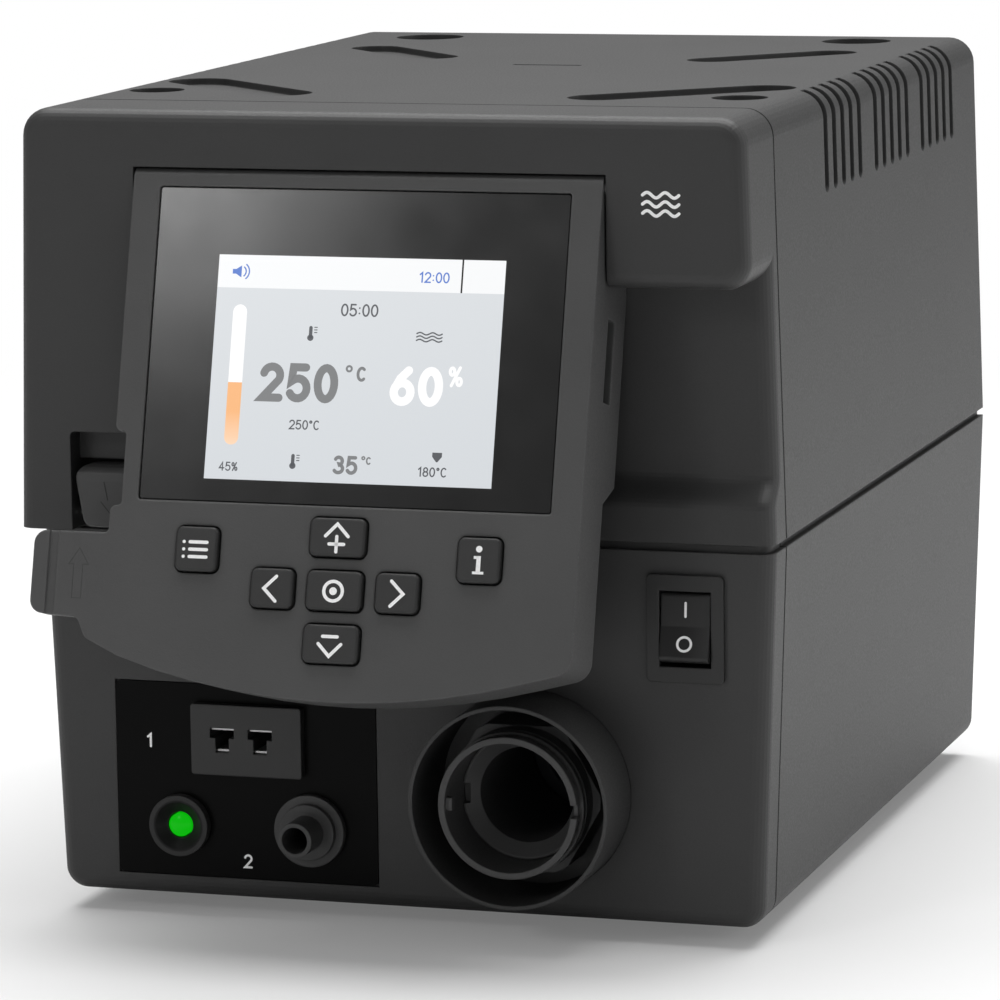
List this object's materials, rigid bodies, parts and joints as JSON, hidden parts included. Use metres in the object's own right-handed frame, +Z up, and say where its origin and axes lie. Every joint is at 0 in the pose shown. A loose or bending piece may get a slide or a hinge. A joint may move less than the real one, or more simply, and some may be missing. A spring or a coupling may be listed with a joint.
{
  "type": "hot-air rework station control unit",
  "caption": "Boxy moulded control unit of a hot-air rework station: flip-up display console with keys, hose port, suction nozzle, thermocouple socket and rocker switch.",
  "frame": {"origin": "centre of the overall box in X and Y, on the floor under the feet", "axes": "+X to the unit's right seen from its front, -Y to the front with the console, +Z up"},
  "size_m": [0.149, 0.2302, 0.1608],
  "materials": {
    "housing_plastic": "fine spark-eroded texture, dark grey",
    "console_plastic": "fine spark-eroded texture, dark grey",
    "black_plastic": "satin black",
    "panel_black": "semi-gloss black",
    "rubber": "matt",
    "steel": "zinc plated",
    "brass": "bright",
    "lens_green": "lit",
    "glass_black": "polished",
    "display": "lit picture",
    "board": "solder mask",
    "key_plastic": "satin",
    "parts": "mixed",
    "aluminium": "mill",
    "winding": "taped winding",
    "blower_plastic": "moulded",
    "impeller_plastic": "moulded",
    "silicone_red": "smooth",
    "silicone_clear": "smooth",
    "pump_metal": "satin",
    "fuse_glass": "clear"
  },
  "bodies": {
    "housing": {"lower_case": "housing_plastic", "top_cover": "housing_plastic", "upper_bezel": "housing_plastic", "lower_front": "housing_plastic", "rear_panel": "black_plastic", "feet": "rubber", "case_screws": "steel", "rear_screws": "steel", "connector_plate": "panel_black", "tc_socket": "console_plastic", "tc_contacts": "brass", "indicator_ring": "black_plastic", "indicator_lens": "lens_green", "suction_nozzle": "console_plastic", "hose_collar": "housing_plastic", "hose_socket": "console_plastic", "hose_core": "black_plastic", "switch_frame": "black_plastic", "console_pins": "steel", "latch_pin": "steel", "chassis_plate": "steel", "board_bracket": "steel", "main_board": "board", "board_parts": "parts", "heatsink": "aluminium", "transformer_core": "winding", "transformer_clamp": "steel", "blower_housing": "blower_plastic", "blower_lid": "blower_plastic", "blower_motor": "steel", "air_hose": "silicone_red", "vacuum_pump": "pump_metal", "suction_hose": "silicone_clear", "fan_frame": "black_plastic", "mains_inlet": "panel_black", "inlet_pins": "steel", "earth_jack": "steel", "data_sockets": "black_plastic"},
    "console": {"console_shell": "console_plastic", "console_back": "console_plastic", "display_glass": "glass_black", "lcd_module": "display", "console_board": "board"},
    "latch": {"console_latch": "console_plastic"},
    "rocker": {"switch_rocker": "black_plastic"},
    "drawer": {"fuse_drawer": "panel_black", "fuses": "fuse_glass"},
    "fan": {"fan_rotor": "black_plastic"},
    "blower": {"blower_impeller": "impeller_plastic"},
    "key_menu": {"key_menu": "key_plastic"},
    "key_up_arrow": {"key_up_arrow": "key_plastic"},
    "key_left": {"key_left": "key_plastic"},
    "key_enter": {"key_enter": "key_plastic"},
    "key_right": {"key_right": "key_plastic"},
    "key_down_arrow": {"key_down_arrow": "key_plastic"},
    "key_info": {"key_info": "key_plastic"}
  },
  "joints": [
    {"name": "console_hinge", "type": "hinge", "parent": "housing", "child": "console", "pos_m": [-0.0016, -0.08655, 0.14725], "axis": [-1, 0, 0], "range_deg": [0, 75]},
    {"name": "latch_press", "type": "hinge", "parent": "housing", "child": "latch", "pos_m": [-0.056, -0.08242, 0.0818], "axis": [-1, 0, 0], "range_deg": [0, 10], "stiffness_Nm_per_rad": 0.08},
    {"name": "power_rocker", "type": "hinge", "parent": "housing", "child": "rocker", "pos_m": [0.0573, -0.07552, 0.0624], "axis": [1, 0, 0], "range_deg": [0, 22]},
    {"name": "fuse_drawer_slide", "type": "slide", "parent": "housing", "child": "drawer", "axis": [0, 1, 0], "range_m": [0, 0.021]},
    {"name": "fan_spin", "type": "hinge", "parent": "housing", "child": "fan", "pos_m": [-0.0275, 0.09758, 0.112], "axis": [0, 1, 0], "continuous": true},
    {"name": "blower_spin", "type": "hinge", "parent": "housing", "child": "blower", "pos_m": [0.012, -0.00442, 0.03], "axis": [0, 0, 1], "continuous": true},
    {"name": "key_menu_press", "type": "slide", "parent": "console", "child": "key_menu", "axis": [0, 0.9641, -0.2656], "range_m": [0, 0.0008], "stiffness_N_per_m": 900},
    {"name": "key_up_arrow_press", "type": "slide", "parent": "console", "child": "key_up_arrow", "axis": [0, 0.9641, -0.2656], "range_m": [0, 0.0008], "stiffness_N_per_m": 900},
    {"name": "key_left_press", "type": "slide", "parent": "console", "child": "key_left", "axis": [0, 0.9641, -0.2656], "range_m": [0, 0.0008], "stiffness_N_per_m": 900},
    {"name": "key_enter_press", "type": "slide", "parent": "console", "child": "key_enter", "axis": [0, 0.9641, -0.2656], "range_m": [0, 0.0008], "stiffness_N_per_m": 900},
    {"name": "key_right_press", "type": "slide", "parent": "console", "child": "key_right", "axis": [0, 0.9641, -0.2656], "range_m": [0, 0.0008], "stiffness_N_per_m": 900},
    {"name": "key_down_arrow_press", "type": "slide", "parent": "console", "child": "key_down_arrow", "axis": [0, 0.9641, -0.2656], "range_m": [0, 0.0008], "stiffness_N_per_m": 900},
    {"name": "key_info_press", "type": "slide", "parent": "console", "child": "key_info", "axis": [0, 0.9641, -0.2656], "range_m": [0, 0.0008], "stiffness_N_per_m": 900}
  ]
}
